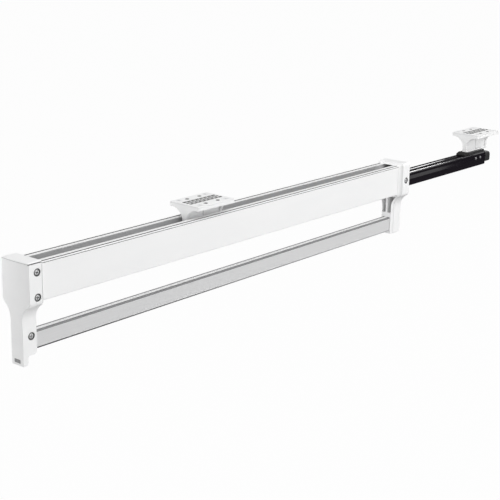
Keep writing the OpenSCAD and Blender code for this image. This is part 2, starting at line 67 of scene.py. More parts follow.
class Grain:
    """A value, colour or vector on its way through a material. Sums and products add Math nodes."""

    def __init__(self, tree, socket):
        self.tree = tree
        self.socket = socket

    def through(self, kind, inputs, result=0, **settings):
        """Passes on through a node of any kind, whose settings come first and then its sockets."""
        step = self.tree.nodes.new(kind)
        for key, value in settings.items():
            setattr(step, key, value)
        for key, value in inputs.items():
            if isinstance(value, Grain):
                self.tree.links.new(value.socket, step.inputs[key])
            else:
                step.inputs[key].default_value = value
        return Grain(self.tree, step.outputs[result])

    def sum_of(self, operation, first, second):
        return self.through("ShaderNodeMath", {0: first, 1: second}, operation=operation)

    def __add__(self, other):
        return self.sum_of("ADD", self, other)

    def __radd__(self, other):
        return self.sum_of("ADD", other, self)

    def __sub__(self, other):
        return self.sum_of("SUBTRACT", self, other)

    def __rsub__(self, other):
        return self.sum_of("SUBTRACT", other, self)

    def __mul__(self, other):
        return self.sum_of("MULTIPLY", self, other)

    def __rmul__(self, other):
        return self.sum_of("MULTIPLY", other, self)

    def __lt__(self, other):
        return self.sum_of("LESS_THAN", self, other)

    def __gt__(self, other):
        return self.sum_of("GREATER_THAN", self, other)

    def __abs__(self):
        return self.sum_of("ABSOLUTE", self, 0.0)

    def axis(self, number):
        return self.through("ShaderNodeSeparateXYZ", {0: self}, result=number)

    def spots(self, per_metre, detail=2.0, rough=0.5):
        return self.through(
            "ShaderNodeTexNoise", {"Vector": self, "Scale": per_metre, "Detail": detail, "Roughness": rough}
        )

    def drawn_out(self, x, y, z):
        return self.through("ShaderNodeMapping", {"Vector": self, "Scale": (x, y, z)})


def start_finish(name, fixed):
    """A new material with the values that are the same all over, and its object coordinates."""
    material = bpy.data.materials.new(name)
    material.use_nodes = True
    tree = material.node_tree
    for socket, value in fixed.items():
        tree.nodes["Principled BSDF"].inputs[socket].default_value = value
    return material, Grain(tree, tree.nodes.new("ShaderNodeTexCoord").outputs["Object"])


def blended(mask, first, second):
    return mask.through("ShaderNodeMix", {0: mask, 6: first, 7: second}, result=2, data_type="RGBA")


def lay_finish(material, mask, tones, roughness, relief, depth, over=()):
    """Two tones mixed by a mask, tones laid over them, a roughness, and a relief that deep in metres."""
    colour = blended(mask, (*tones[0], 1), (*tones[1], 1))
    for area, tone in over:
        colour = blended(area, colour, (*tone, 1))
    normal = relief.through("ShaderNodeBump", {"Height": relief, "Distance": depth})
    shader = material.node_tree.nodes["Principled BSDF"]
    for socket, value in (("Base Color", colour), ("Roughness", roughness), ("Normal", normal)):
        mask.tree.links.new(value.socket, shader.inputs[socket])
    return material


def settle(piece):
    """Turns what the modifiers make into the piece's own mesh."""
    graph = bpy.context.evaluated_depsgraph_get()
    mesh = bpy.data.meshes.new_from_object(piece.evaluated_get(graph))
    piece.modifiers.clear()
    piece.data = mesh
    return piece


def shown(name, shape):
    """A scene object from a bmesh."""
    mesh = bpy.data.meshes.new(name)
    shape.to_mesh(mesh)
    shape.free()
    piece = bpy.data.objects.new(name, mesh)
    scene.collection.objects.link(piece)
    return piece


def prism(name, outline, start, end, along="Y"):
    """A closed solid with this outline in the other two axes, from start to end along one axis."""
    order = {"X": (2, 0, 1), "Y": (0, 2, 1), "Z": (0, 1, 2)}[along]
    shape = bmesh.new()
    near, far = (
        [shape.verts.new([(a, b, c)[k] for k in order]) for a, b in outline] for c in (start, end)
    )
    shape.faces.new(near)
    shape.faces.new(far[::-1])
    count = len(outline)
    for k in range(count):
        shape.faces.new((near[k], far[k], far[(k + 1) % count], near[(k + 1) % count]))
    bmesh.ops.recalc_face_normals(shape, faces=shape.faces)
    return shown(name, shape)


def both_sides(side):
    """A whole outline from its +X half."""
    return side + [(-a, b) for a, b in side[::-1]]


def bent(start, middle, end, steps):
    """A smooth turn from start to end that is pulled towards middle."""
    return [
        tuple((1 - t) ** 2 * a + 2 * t * (1 - t) * b + t * t * c for a, b, c in zip(start, middle, end))
        for t in (k / steps for k in range(steps + 1))
    ]


def box(name, x0, x1, y0, y1, z0, z1):
    return prism(name, [(x0, z0), (x1, z0), (x1, z1), (x0, z1)], y0, y1)


def drill(along, a, b, radius, start, end):
    """A round cutter along one axis, at a and b in the other two."""
    turns = (2 * math.pi * k / 40 for k in range(40))
    ring = [(a + radius * math.cos(t), b + radius * math.sin(t)) for t in turns]
    return prism("cutter", ring, start, end, along)


def ease(piece, width, angle=40, rows=3):
    """Rounds the piece's sharp edges, as a mould or a file leaves them."""
    edge = piece.modifiers.new("eased edges", "BEVEL")
    edge.width, edge.segments, edge.angle_limit = width, rows, math.radians(angle)
    edge.limit_method = "ANGLE"
    edge.use_clamp_overlap = False
    return settle(piece)


def carve(piece, cutters, operation="DIFFERENCE"):
    """Cuts the cutters out of the piece, or adds them, and clears them away."""
    for cutter in cutters:
        step = piece.modifiers.new("cut", "BOOLEAN")
        step.operation, step.object, step.solver = operation, cutter, "EXACT"
    settle(piece)
    for cutter in cutters:
        bpy.data.objects.remove(cutter)
    return piece


def crisp(piece, angle=28):
    """Keeps flats flat and cut edges sharp, and shades the rest as smooth."""
    piece.data.shade_smooth()
    piece.data.set_sharp_from_angle(angle=math.radians(angle))
    piece.modifiers.new("flat faces", "WEIGHTED_NORMAL").keep_sharp = True
    return piece


def joined_up(name, node):
    """A copy of a CAD node with its loose triangles merged into whole faces."""
    shape = bmesh.new()
    shape.from_mesh(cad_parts[node].data)
    bmesh.ops.remove_doubles(shape, verts=shape.verts, dist=0.002 * mm)
    bmesh.ops.dissolve_limit(shape, angle_limit=math.radians(0.5), verts=shape.verts, edges=shape.edges)
    return shown(name, shape)


def fitted(piece, material, body, slot, *nodes):
    """Gives the piece its finish and its body, and hides the CAD nodes that it stands for."""
    if material:
        piece.data.materials.clear()
        piece.data.materials.append(material)
    if nodes:
        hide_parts(*nodes)
    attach(piece, body)
    return piece


def wired(tree, kind, inputs=(), **settings):
    """A node of a shape tree, with its settings and the values or links of its sockets."""
    step = tree.nodes.new(kind)
    for key, value in settings.items():
        setattr(step, key, value)
    for key, value in dict(inputs).items():
        if isinstance(value, bpy.types.NodeSocket):
            tree.links.new(value, step.inputs[key])
        else:
            step.inputs[key].default_value = value
    return step


def sized_tree(name, sizes):
    """An empty shape tree that takes seats, named sizes and a finish."""
    tree = bpy.data.node_groups.new(name, "GeometryNodeTree")
    tree.interface.new_socket("Seats", in_out="INPUT", socket_type="NodeSocketGeometry")
    for size, kind in [*sizes, ("Finish", "Material")]:
        tree.interface.new_socket(size, in_out="INPUT", socket_type="NodeSocket" + kind)
    tree.interface.new_socket("Made", in_out="OUTPUT", socket_type="NodeSocketGeometry")
    return tree, tree.nodes.new("NodeGroupInput").outputs


def set_out(tree, size, shape, **turned):
    """Ends a shape tree: one copy of the shape on each seat, made real and given its finish."""
    placed = wired(
        tree, "GeometryNodeInstanceOnPoints", {"Points": size["Seats"], "Instance": shape, **turned}
    )
    placed = wired(tree, "GeometryNodeRealizeInstances", {0: placed.outputs[0]})
    placed = wired(
        tree, "GeometryNodeSetMaterial", {"Geometry": placed.outputs[0], "Material": size["Finish"]}
    )
    tree.links.new(placed.outputs[0], tree.nodes.new("NodeGroupOutput").inputs[0])


def grown(name, tree, seats, sizes):
    """Runs a shape tree on seats, each a place and the way it faces, and keeps the plain mesh."""
    points = bpy.data.meshes.new(name)
    points.from_pydata([spot for spot, way in seats], [], [])
    ways = points.attributes.new("facing", "FLOAT_VECTOR", "POINT")
    for number, (spot, way) in enumerate(seats):
        ways.data[number].vector = way
    piece = bpy.data.objects.new(name, points)
    scene.collection.objects.link(piece)
    maker = piece.modifiers.new(name, "NODES")
    maker.node_group = tree
    names = {s.name: s.identifier for s in tree.interface.items_tree if s.in_out == "INPUT"}
    for key, value in sizes.items():
        maker[names[key]] = value
    return settle(piece)


def lay_moulded(material, place, over=()):
    """The moulded white of the castings and brackets, with tones laid over it."""
    return lay_finish(
        material,
        place.spots(45, detail=3),
        ((0.865, 0.868, 0.872), (0.915, 0.915, 0.913)),
        0.28 + 0.14 * place.spots(160, detail=4),
        place.spots(2400, detail=3, rough=0.7) + 0.6 * place.spots(420),
        0.01 * mm,
        over,
    )


moulded_white = lay_moulded(*start_finish("moulded_white", {"Metallic": 0.0, "IOR": 1.5}))
window_tree, size = sized_tree("windows_on_seats", [("Size", "Vector")])
pane = wired(window_tree, "GeometryNodeMeshCube", {"Size": size["Size"]})
set_out(window_tree, size, pane.outputs["Mesh"])
plate_x, plate_y, plate_top, plate_foot, web_foot = 17.3 * mm, 24.3 * mm, -1.4 * mm, -4.3 * mm, -23.2 * mm
web, core, rib_wide, rib_tall, rib_thick = 2.4 * mm, 1.6 * mm, 12.6 * mm, 9.6 * mm, 3.4 * mm
sweep = (rib_wide ** 2 + rib_tall ** 2) / (2 * rib_tall)
turns = [math.asin(rib_wide / sweep) * k / 16 for k in range(17)]
rib = [(web + rib_wide - sweep * math.sin(t), plate_foot - sweep + sweep * math.cos(t)) for t in turns]
casting_outline = both_sides([(plate_x, plate_top), (plate_x, plate_foot), *rib, (web, web_foot)])
hollow_top, hollow_foot, out = plate_foot + 0.03 * mm, web_foot + 1.1 * mm, 20 * mm
wide_turn, tight_turn = 2.2 * mm, 1.4 * mm
shallow = bent((web + wide_turn, hollow_top), (web, hollow_top), (web, hollow_top - wide_turn), 6)
shallow = [(out, hollow_top), *shallow, (web, hollow_foot), (out, hollow_foot)]
deep = bent((core + tight_turn, hollow_top), (core, hollow_top), (core, hollow_top - tight_turn), 5)
deep += bent((core, hollow_foot + mm), (core, hollow_foot), (core + mm, hollow_foot), 4)
deep = [(out, hollow_top), *deep, (out, hollow_foot)]
window_x, window_y, pitch_x, pitch_y = 3 * mm, 4.7 * mm, 4.2 * mm, 5.4 * mm
mounts = (("front", 0.0), ("rear", 484 * mm))
shelf_holes = [(x, y) for x in (-11.3 * mm, 11.3 * mm) for y in (-8.1 * mm, 8.1 * mm)]


def window_seats(middle, z):
    """The middles of one plate's windows, three rows of eight, all facing up."""
    spots = [((i - 1) * pitch_x, middle + (j - 3.5) * pitch_y, z) for i in range(3) for j in range(8)]
    return [(spot, (0, 0, 1)) for spot in spots]


for end, middle in mounts:
    low, high = middle - plate_y, middle + plate_y
    casting = ease(prism(f"{end}_mount_casting", casting_outline, low, high), 0.45 * mm, angle=35)
    cutters = [drill("Z", x, middle + y, 2 * mm, -6 * mm, mm) for x, y in shelf_holes]
    windows = {"Size": (window_x, window_y, 2.8 * mm)}
    cutters.append(grown("cutter", window_tree, window_seats(middle, -2 * mm), windows))
    near, far = low + rib_thick, high - rib_thick
    for side in (-1, 1):
        cutters.append(prism("cutter", [(side * x, z) for x, z in shallow], near, far))
        for start, stop in ((near, middle - mm), (middle + mm, far)):
            cutters.append(prism("cutter", [(side * x, z) for x, z in deep], start, stop))
    crisp(carve(casting, cutters))
    fitted(casting, moulded_white, "mounts_and_rail", "white_moulding", f"{end}_mount_bracket")


# Pads. A thin plate lies on each casting, between it and the shelf, with three rows of windows whose
# dark rubber studs grip the shelf, and four holes for the shelf screws, lined in black.
pad_white, place = start_finish("pad_white", {"Metallic": 0.0, "IOR": 1.45})
lay_finish(
    pad_white,
    place.spots(90, detail=4),
    ((0.8, 0.802, 0.806), (0.86, 0.86, 0.858)),
    0.42 + 0.14 * place.spots(230, detail=3),
    place.spots(3000, detail=2) + 0.5 * place.spots(600),
    0.01 * mm,
)
rubber, place = start_finish("rubber", {"Metallic": 0.0, "IOR": 1.4, "Specular IOR Level": 0.2})
lay_finish(
    rubber,
    place.spots(200, detail=4),
    ((0.014, 0.014, 0.014), (0.032, 0.031, 0.03)),
    0.72 + 0.2 * place.spots(500, detail=3),
    place.spots(1800, detail=4),
    0.04 * mm,
)
lining_tree, size = sized_tree(
    "linings_on_seats", [("Outer radius", "Float"), ("Inner radius", "Float"), ("Length", "Float")]
)
sleeve, bore = (
    wired(
        lining_tree, "GeometryNodeMeshCylinder",
        {"Vertices": 32, "Radius": size[radius], "Depth": size["Length"]},
    )
    for radius in ("Outer radius", "Inner radius")
)
bore = wired(lining_tree, "GeometryNodeTransform", {"Geometry": bore.outputs["Mesh"], "Scale": (1, 1, 1.3)})
sleeve = wired(
    lining_tree, "GeometryNodeMeshBoolean", {"Mesh 1": sleeve.outputs["Mesh"]}, operation="DIFFERENCE"
)
lining_tree.links.new(bore.outputs[0], sleeve.inputs["Mesh 2"])
set_out(lining_tree, size, sleeve.outputs[0])
corners = [(x, y) for x in (-12.8 * mm, 12.8 * mm) for y in (-17.5 * mm, 17.5 * mm)]
for end, middle in mounts:
    low, high = middle - plate_y, middle + plate_y
    pad = prism(
        f"{end}_pad", [(-plate_x, low), (plate_x, low), (plate_x, high), (-plate_x, high)], plate_top, 0, "Z"
    )
    ease(pad, 0.3 * mm)
    cutters = [drill("Z", x, middle + y, 2 * mm, -2 * mm, mm) for x, y in shelf_holes]
    cutters += [drill("Z", x, middle + y, 2.55 * mm, -2 * mm, mm) for x, y in corners]
    windows = {"Size": (window_x, window_y, 4 * mm)}
    cutters.append(grown("cutter", window_tree, window_seats(middle, -mm), windows))
    fitted(crisp(carve(pad, cutters)), pad_white, "mounts_and_rail", "white_pad", f"{end}_mount_pad")
    studs = grown(
        f"{end}_pad_studs", window_tree, window_seats(middle, -1.74 * mm),
        {"Size": (window_x - 0.1 * mm, window_y - 0.1 * mm, 3.3 * mm), "Finish": rubber},
    )
    fitted(studs, None, "mounts_and_rail", "rubber")
    seats = [((x, middle + y, -2.16 * mm), (0, 0, 1)) for x, y in shelf_holes]
    linings = grown(
        f"{end}_hole_linings", lining_tree, seats,
        {"Outer radius": 1.98 * mm, "Inner radius": 1.7 * mm, "Length": 4.2 * mm, "Finish": rubber},
    )
    fitted(crisp(linings), None, "mounts_and_rail", "rubber")


# Corner screws of the pads. They are zinc plated steel with a cone head and a cross recess, driven
# flush. The same screw tree makes every other screw and rivet with that one's own sizes.
def sums(tree, operation, first, second):
    return wired(tree, "ShaderNodeMath", {0: first, 1: second}, operation=operation).outputs[0]


screw_tree, size = sized_tree(
    "screws_on_seats",
    [
        ("Head radius", "Float"), ("Under-head radius", "Float"), ("Head height", "Float"),
        ("Dome share", "Float"), ("Shank radius", "Float"), ("Shank length", "Float"),
        ("Cross", "Bool"), ("Cross reach", "Float"), ("Cross width", "Float"), ("Cross depth", "Float"),
        ("Seed", "Int"),
    ],
)
blank = wired(
    screw_tree,
    "GeometryNodeMeshCone",
    {
        "Vertices": 40, "Side Segments": 3, "Fill Segments": 7, "Radius Top": size["Head radius"],
        "Radius Bottom": size["Under-head radius"], "Depth": size["Head height"],
    },
)
spot = wired(screw_tree, "GeometryNodeInputPosition").outputs[0]
level = wired(screw_tree, "ShaderNodeVectorMath", {0: spot, 1: (1, 1, 0)}, operation="MULTIPLY").outputs[0]
reach = wired(screw_tree, "ShaderNodeVectorMath", {0: level}, operation="LENGTH").outputs["Value"]
reach = sums(screw_tree, "POWER", sums(screw_tree, "DIVIDE", reach, size["Head radius"]), 4.0)
height = sums(screw_tree, "SUBTRACT", 1.0, sums(screw_tree, "MULTIPLY", reach, size["Dome share"]))
parts = wired(screw_tree, "ShaderNodeSeparateXYZ", {0: spot}).outputs
risen = wired(
    screw_tree,
    "ShaderNodeCombineXYZ",
    {0: parts[0], 1: parts[1], 2: sums(screw_tree, "MULTIPLY", parts[2], height)},
)
domed = wired(
    screw_tree, "GeometryNodeSetPosition", {"Geometry": blank.outputs["Mesh"], "Position": risen.outputs[0]}
)
blade_tall = sums(screw_tree, "MULTIPLY", size["Cross depth"], 2.0)
blade = wired(
    screw_tree, "ShaderNodeCombineXYZ", {0: size["Cross reach"], 1: size["Cross width"], 2: blade_tall}
)
blade = wired(screw_tree, "GeometryNodeMeshCube", {"Size": blade.outputs[0]})
lift = wired(screw_tree, "ShaderNodeCombineXYZ", {2: size["Head height"]}).outputs[0]
crossed = wired(screw_tree, "GeometryNodeMeshBoolean", {"Mesh 1": domed.outputs[0]}, operation="DIFFERENCE")
for turn in (0, math.pi / 2):
    turned = wired(
        screw_tree, "GeometryNodeTransform",
        {"Geometry": blade.outputs["Mesh"], "Translation": lift, "Rotation": (0, 0, turn)},
    )
    screw_tree.links.new(turned.outputs[0], crossed.inputs["Mesh 2"])
head = wired(
    screw_tree,
    "GeometryNodeSwitch",
    {"Switch": size["Cross"], "False": domed.outputs[0], "True": crossed.outputs[0]},
    input_type="GEOMETRY",
)
shank = wired(
    screw_tree,
    "GeometryNodeMeshCylinder",
    {"Vertices": 24, "Radius": size["Shank radius"], "Depth": size["Shank length"]},
)
drop = wired(
    screw_tree, "ShaderNodeCombineXYZ", {2: sums(screw_tree, "MULTIPLY", size["Shank length"], -0.5)}
).outputs[0]
shank = wired(
    screw_tree, "GeometryNodeTransform", {"Geometry": shank.outputs["Mesh"], "Translation": drop}
)
screw = wired(screw_tree, "GeometryNodeJoinGeometry")
screw_tree.links.new(head.outputs[0], screw.inputs[0])
screw_tree.links.new(shank.outputs[0], screw.inputs[0])
corner = wired(screw_tree, "GeometryNodeInputMeshEdgeAngle").outputs["Unsigned Angle"]
smooth = wired(
    screw_tree, "GeometryNodeSetShadeSmooth", {"Geometry": screw.outputs[0], "Shade Smooth": True}
)
smooth = wired(
    screw_tree,
    "GeometryNodeSetShadeSmooth",
    {
        "Geometry": smooth.outputs[0], "Selection": sums(screw_tree, "GREATER_THAN", corner, 0.6),
        "Shade Smooth": False,
    },
    domain="EDGE",
)
facing = wired(screw_tree, "GeometryNodeInputNamedAttribute", {"Name": "facing"}, data_type="FLOAT_VECTOR")
facing = wired(screw_tree, "FunctionNodeAlignRotationToVector", {"Vector": facing.outputs[0]}, axis="Z")
turn = wired(screw_tree, "FunctionNodeRandomValue", {2: 0.0, 3: math.pi, 8: size["Seed"]}, data_type="FLOAT")
turn = wired(screw_tree, "FunctionNodeAxisAngleToRotation", {"Axis": (0, 0, 1), "Angle": turn.outputs[1]})
facing = wired(
    screw_tree, "FunctionNodeRotateRotation", {0: facing.outputs[0], 1: turn.outputs[0]},
    rotation_space="LOCAL",
)
set_out(screw_tree, size, smooth.outputs[0], Rotation=facing.outputs[0])


def screws(name, seats, metal, head, height, shank, length, under=None, dome=0.55, cross=0.0, seed=1):
    """Screws or rivets with the head's radius and height and the shank's radius and length."""
    return grown(
        name,
        screw_tree,
        seats,
        {
            "Head radius": head, "Under-head radius": under or head, "Head height": height,
            "Dome share": dome, "Shank radius": shank, "Shank length": length, "Cross": cross > 0,
            "Cross reach": head * 1.25, "Cross width": head * 0.26, "Cross depth": cross,
            "Seed": seed, "Finish": metal,
        },
    )


def lay_zinc(material, place, over=()):
    """The plating of every screw, with tones laid over it."""
    return lay_finish(
        material,
        place.through("ShaderNodeTexVoronoi", {"Vector": place, "Scale": 900.0}, feature="SMOOTH_F1"),
        ((0.7, 0.705, 0.715), (0.84, 0.84, 0.84)),
        0.38 + 0.2 * place.spots(700, detail=4),
        place.spots(2600, detail=3),
        0.01 * mm,
        over,
    )


zinc = lay_zinc(*start_finish("zinc_plate", {"Metallic": 0.4}))
for end, middle in mounts:
    piece = screws(
        f"{end}_pad_corner_screws", [((x, middle + y, -1.1 * mm), (0, 0, 1)) for x, y in corners], zinc,
        2.5 * mm, 1.1 * mm, 1.1 * mm, 2.7 * mm, under=1.1 * mm, dome=0.0, cross=0.7 * mm, seed=3,
    )
    fitted(piece, None, "mounts_and_rail", "screw_steel", f"{end}_pad_screws")


# Saddles. A dark block stands on the rail under each web, and two screws come up from inside the
# rail, through the saddle and into the web.
black_moulding, place = start_finish("black_moulding", {"Metallic": 0.0, "IOR": 1.45})
lay_finish(
    black_moulding,
    place.spots(120, detail=3),
    ((0.012, 0.012, 0.013), (0.024, 0.024, 0.025)),
    0.3 + 0.2 * place.spots(300, detail=3),
    place.spots(2200, detail=3) + 0.6 * place.spots(500),
    0.02 * mm,
)
for end, middle in mounts:
    saddle = crisp(joined_up(f"{end}_saddle_block", f"{end}_saddle"))
    fitted(saddle, black_moulding, "mounts_and_rail", "black_plastic", f"{end}_saddle")
    seats = [((0, middle - 6.3 * mm + y, -26.7 * mm), (0, 0, -1)) for y in (-10 * mm, 10 * mm)]
    piece = screws(
        f"{end}_web_screws", seats, zinc, 2.7 * mm, 2 * mm, 1.5 * mm, 11.5 * mm, cross=0.7 * mm, seed=5
    )
    fitted(piece, None, "mounts_and_rail", "screw_steel", f"{end}_stem_screws")


# Fixed rail. Steel strip rolled into a channel that opens downwards, with a ball track pressed in
# each wall, and stove enamelled in gloss black with a trace of purple in it.
rail_low, rail_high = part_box("fixed_rail")
half, foot, top = rail_high[0], rail_low[2], rail_high[2]
wall, lip = 1.5 * mm, 2.2 * mm
track_z, track_x, ball = foot + 5.3 * mm, half - 3.075 * mm, 2.05 * mm
side = [*bent((2 * mm, top - 0.8 * mm), (2.7 * mm, top - 0.2 * mm), (3.6 * mm, top), 6)]
side += bent((half - 3 * mm, top), (half - 2.33 * mm, top), (half - 2 * mm, top - 0.31 * mm), 6)
side += bent((half - 1.19 * mm, top - 1.05 * mm), (half - mm, top - 1.23 * mm), (half - mm, top - 2 * mm), 6)
side += bent((half - mm, top - 2 * mm), (half - mm, top - 5 * mm), (half, top - 7.7 * mm), 9)[1:]
side.append((half - 0.4 * mm, top - 8.1 * mm))
side += bent((half - 0.4 * mm, foot + 1.2 * mm), (half - 0.4 * mm, foot), (half - 1.5 * mm, foot), 4)
side += [(half - wall - lip, foot), (half - wall - lip, foot + wall), (half - wall, foot + wall)]
angle = math.acos(min(1.0, (half - wall - track_x) / ball))
for k in range(9):
    a = -angle + 2 * angle * k / 8
    side.append((track_x + ball * math.cos(a), track_z + ball * math.sin(a)))
side += [(half - wall, top - wall - 0.8 * mm), (half - wall - 0.8 * mm, top - wall)]
gloss_black, place = start_finish("gloss_black", {"Metallic": 0.0, "IOR": 1.45, "Specular IOR Level": 0.18})
drawn = place.drawn_out(260, 5, 260)
low_band = place.axis(2) < (top - 8.1 * mm)
lay_finish(
    gloss_black,
    drawn.spots(1.0, detail=4),
    ((0.004, 0.003, 0.005), (0.0085, 0.0065, 0.0105)),
    0.05 + 0.06 * drawn.spots(2.0, detail=3) + 0.04 * low_band,
    place.spots(260, detail=2) + 0.4 * drawn.spots(1.5, detail=2),
    0.008 * mm,
)
thick_enamel = (place.axis(2) > top - 1.3 * mm) * (abs(place.axis(0)) > half - 2.4 * mm)
gloss_black.node_tree.links.new(
    thick_enamel.socket, gloss_black.node_tree.nodes["Principled BSDF"].inputs["Coat Weight"]
)
rail = ease(prism("rolled_rail", both_sides(side), rail_low[1], rail_high[1]), 0.25 * mm, angle=60)
fitted(crisp(rail), gloss_black, "mounts_and_rail", "black_rail", "fixed_rail")


# End plug and its rivets. A moulded plug with a rounded nose closes the back of the rail, held by
# two steel rivets a side, which are the pale ovals near the end.
plug = crisp(ease(joined_up("end_plug", "rail_end_plug"), 0.5 * mm, rows=4))
fitted(plug, black_moulding, "mounts_and_rail", "black_plastic", "rail_end_plug")
rivet_metal, place = start_finish("rivet_metal", {"Metallic": 1.0})
lay_finish(
    rivet_metal,
    place.spots(900, detail=3),
    ((0.34, 0.34, 0.35), (0.48, 0.48, 0.49)),
    0.34 + 0.2 * place.spots(1200, detail=3),
    place.spots(2500, detail=2),
    0.012 * mm,
)
seats = [
    ((side * (half - 0.1 * mm), y * mm, -30.6 * mm), (side, 0, 0))
    for y in (474.3, 484.3) for side in (-1, 1)
]
piece = screws("plug_rivets", seats, rivet_metal, 1.7 * mm, 0.4 * mm, 1.6 * mm, 4 * mm, dome=0.6, seed=2)
fitted(piece, None, "mounts_and_rail", "rivet_steel", "end_plug_rivets")
piece = screws(
    "cage_rivet", [((0, rail_low[1] + 3.6 * mm, top - wall), (0, 0, -1))], rivet_metal,
    2 * mm, 3.2 * mm, 1 * mm, 1.5 * mm, dome=0.15, seed=2,
)
fitted(piece, None, "mounts_and_rail", "rivet_steel", "cage_stop_rivet")


# Stops and buffers. Dark rubber blocks: one on the rail that ends the pull, with a screw from below,
# one against the rear casting that ends the push, and a pad on the tab that meets the first.
for name, node, body in (
    ("opening_block", "opening_stop", "mounts_and_rail"), ("tab_pad", "opening_pad", "pull_out")
):
    fitted(crisp(ease(joined_up(name, node), 0.3 * mm)), rubber, body, "rubber", node)
low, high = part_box("closing_buffer")
wedge = [(low[1], low[2]), (low[1], low[2] + 1.5 * mm)]
wedge += bent((low[1] + 0.6 * mm, low[2] + 2 * mm), (low[1] + 4 * mm, high[2]), (high[1], high[2]), 7)
wedge.append((high[1], low[2]))
piece = ease(prism("closing_block", wedge, low[0], high[0], "X"), 0.3 * mm)
fitted(crisp(piece), rubber, "mounts_and_rail", "rubber", "closing_buffer")
stop_low, stop_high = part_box("opening_stop")
piece = screws(
    "opening_block_screw", [((0, (stop_low[1] + stop_high[1]) / 2, top - wall), (0, 0, -1))], zinc,
    2.7 * mm, 1.8 * mm, 1.5 * mm, 5.9 * mm, cross=0.7 * mm, seed=4,
)
fitted(piece, None, "mounts_and_rail", "screw_steel", "opening_stop_screw")


# Ball cage. A strip of yellow zinc steel bent over the runner, with thirteen holes a side, and a
# 4 mm bearing ball in each hole. It travels at half the speed of the channel.
yellow_zinc, place = start_finish("yellow_zinc", {"Metallic": 1.0})
lay_finish(
    yellow_zinc,
    place.spots(260, detail=4),
    ((0.5, 0.44, 0.3), (0.66, 0.6, 0.44)),
    0.28 + 0.2 * place.spots(600, detail=3),
    place.spots(1500, detail=3),
    0.01 * mm,
)
fitted(crisp(joined_up("cage_strip", "ball_cage")), yellow_zinc, "ball_cage", "cage_steel", "ball_cage")
ball_tree, size = sized_tree("balls_on_seats", [("Ball radius", "Float")])
sphere = wired(
    ball_tree, "GeometryNodeMeshUVSphere", {"Segments": 20, "Rings": 12, "Radius": size["Ball radius"]}
)
set_out(
    ball_tree, size,
    wired(ball_tree, "GeometryNodeSetShadeSmooth", {"Geometry": sphere.outputs["Mesh"]}).outputs[0],
)
ball_steel, place = start_finish("ball_steel", {"Metallic": 1.0})
lay_finish(
    ball_steel,
    place.spots(500, detail=2),
    ((0.72, 0.72, 0.73), (0.8, 0.8, 0.8)),
    0.06 + 0.08 * place.spots(900, detail=3),
    place.spots(900),
    0.002 * mm,
)
balls_low, balls_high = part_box("slide_balls")
first, last = balls_low[1] + 2 * mm, balls_high[1] - 2 * mm
seats = [
    ((side * (balls_high[0] - 2 * mm), first + (last - first) * k / 12, (balls_low[2] + balls_high[2]) / 2),
     (0, 0, 1))
    for k in range(13) for side in (-1, 1)
]
piece = grown("bearing_balls", ball_tree, seats, {"Ball radius": 2 * mm, "Finish": ball_steel})
fitted(piece, None, "ball_cage", "ball_steel", "slide_balls")


# Channel. An aluminium extrusion with a slot along its top, lips turned down beside the slot and
# fine lines along them, in white powder coat; its inside and its lines are painted darker, as painted shade.
channel_low, channel_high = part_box("body_profile")
half, foot, top = channel_high[0], channel_low[2], channel_high[2]
slot, lip, flange, wall, floor_t, deep_line = 6.3 * mm, 2.2 * mm, 6 * mm, 1.6 * mm, 1.8 * mm, 0.7 * mm
side = [*bent((half - mm, foot), (half, foot), (half, foot + mm), 5), (half, top - 1.35 * mm)]
side += [(half - 0.45 * mm, top - 1.3 * mm), (half - 0.45 * mm, top - 0.9 * mm), (half, top - 0.85 * mm)]
side += bent((half, top - 0.5 * mm), (half, top), (half - 0.5 * mm, top), 4)
line_far, line_near, mouth, bead = 11.75 * mm, 10.1 * mm, 5.9 * mm, 1.3 * mm
side += [(line_far, top), (line_far, top - deep_line), (line_near, top - deep_line), (line_near, top)]
side += [(mouth, top), (mouth, top - bead), (slot, top - bead), (slot, top - flange)]
side += [(slot + 1.2 * mm, top - flange), (slot + 1.2 * mm, top - lip)]
side += [(half - wall, top - lip), (half - wall, foot + floor_t)]
powder_coat, place = start_finish("powder_coat", {"Metallic": 0.0, "IOR": 1.5})
x, z = abs(place.axis(0)), place.axis(2)
# The inside of the channel is painted a darker grey: painted shade in the slot.
inside_shade = (x < half - 1.2 * mm) * (z < top - 0.03 * mm) * (z > foot + 0.9 * mm)
# The fine lines along the lips are painted near black: painted shade in their grooves.
groove_shade = (x > slot + mm) * inside_shade * (z > top - deep_line - 0.1 * mm)
# The small groove under each top edge is painted dark grey: painted shade.
side_groove_shade = (x < half - 0.04 * mm) * (x > half - 0.6 * mm) * (z < top - 0.84 * mm) * (z > top - 1.36 * mm)
lay_finish(
    powder_coat,
    place.drawn_out(1, 0.25, 1).spots(60, detail=3),
    ((0.855, 0.857, 0.86), (0.895, 0.895, 0.893)),
    0.28 + 0.12 * place.spots(240, detail=4) + 0.4 * (inside_shade + side_groove_shade),
    place.spots(750, detail=2) + 0.3 * place.spots(2600, detail=2),
    0.012 * mm,
    over=[(inside_shade, (0.45, 0.45, 0.455)), (groove_shade, (0.04, 0.04, 0.042)), (side_groove_shade, (0.16, 0.16, 0.165))],
)
channel = prism("slotted_channel", both_sides(side), channel_low[1], channel_high[1])
ease(channel, 0.05 * mm, rows=1)
run_low, run_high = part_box("runner")
floor_screws = [run_low[1] + (run_high[1] - run_low[1]) * (k + 0.5) / 5 for k in range(5)]
carve(channel, [drill("Z", 0, y, 2.95 * mm, foot - mm, foot + 3 * mm) for y in floor_screws])
fitted(crisp(channel), powder_coat, "pull_out", "white_channel", "body_profile")


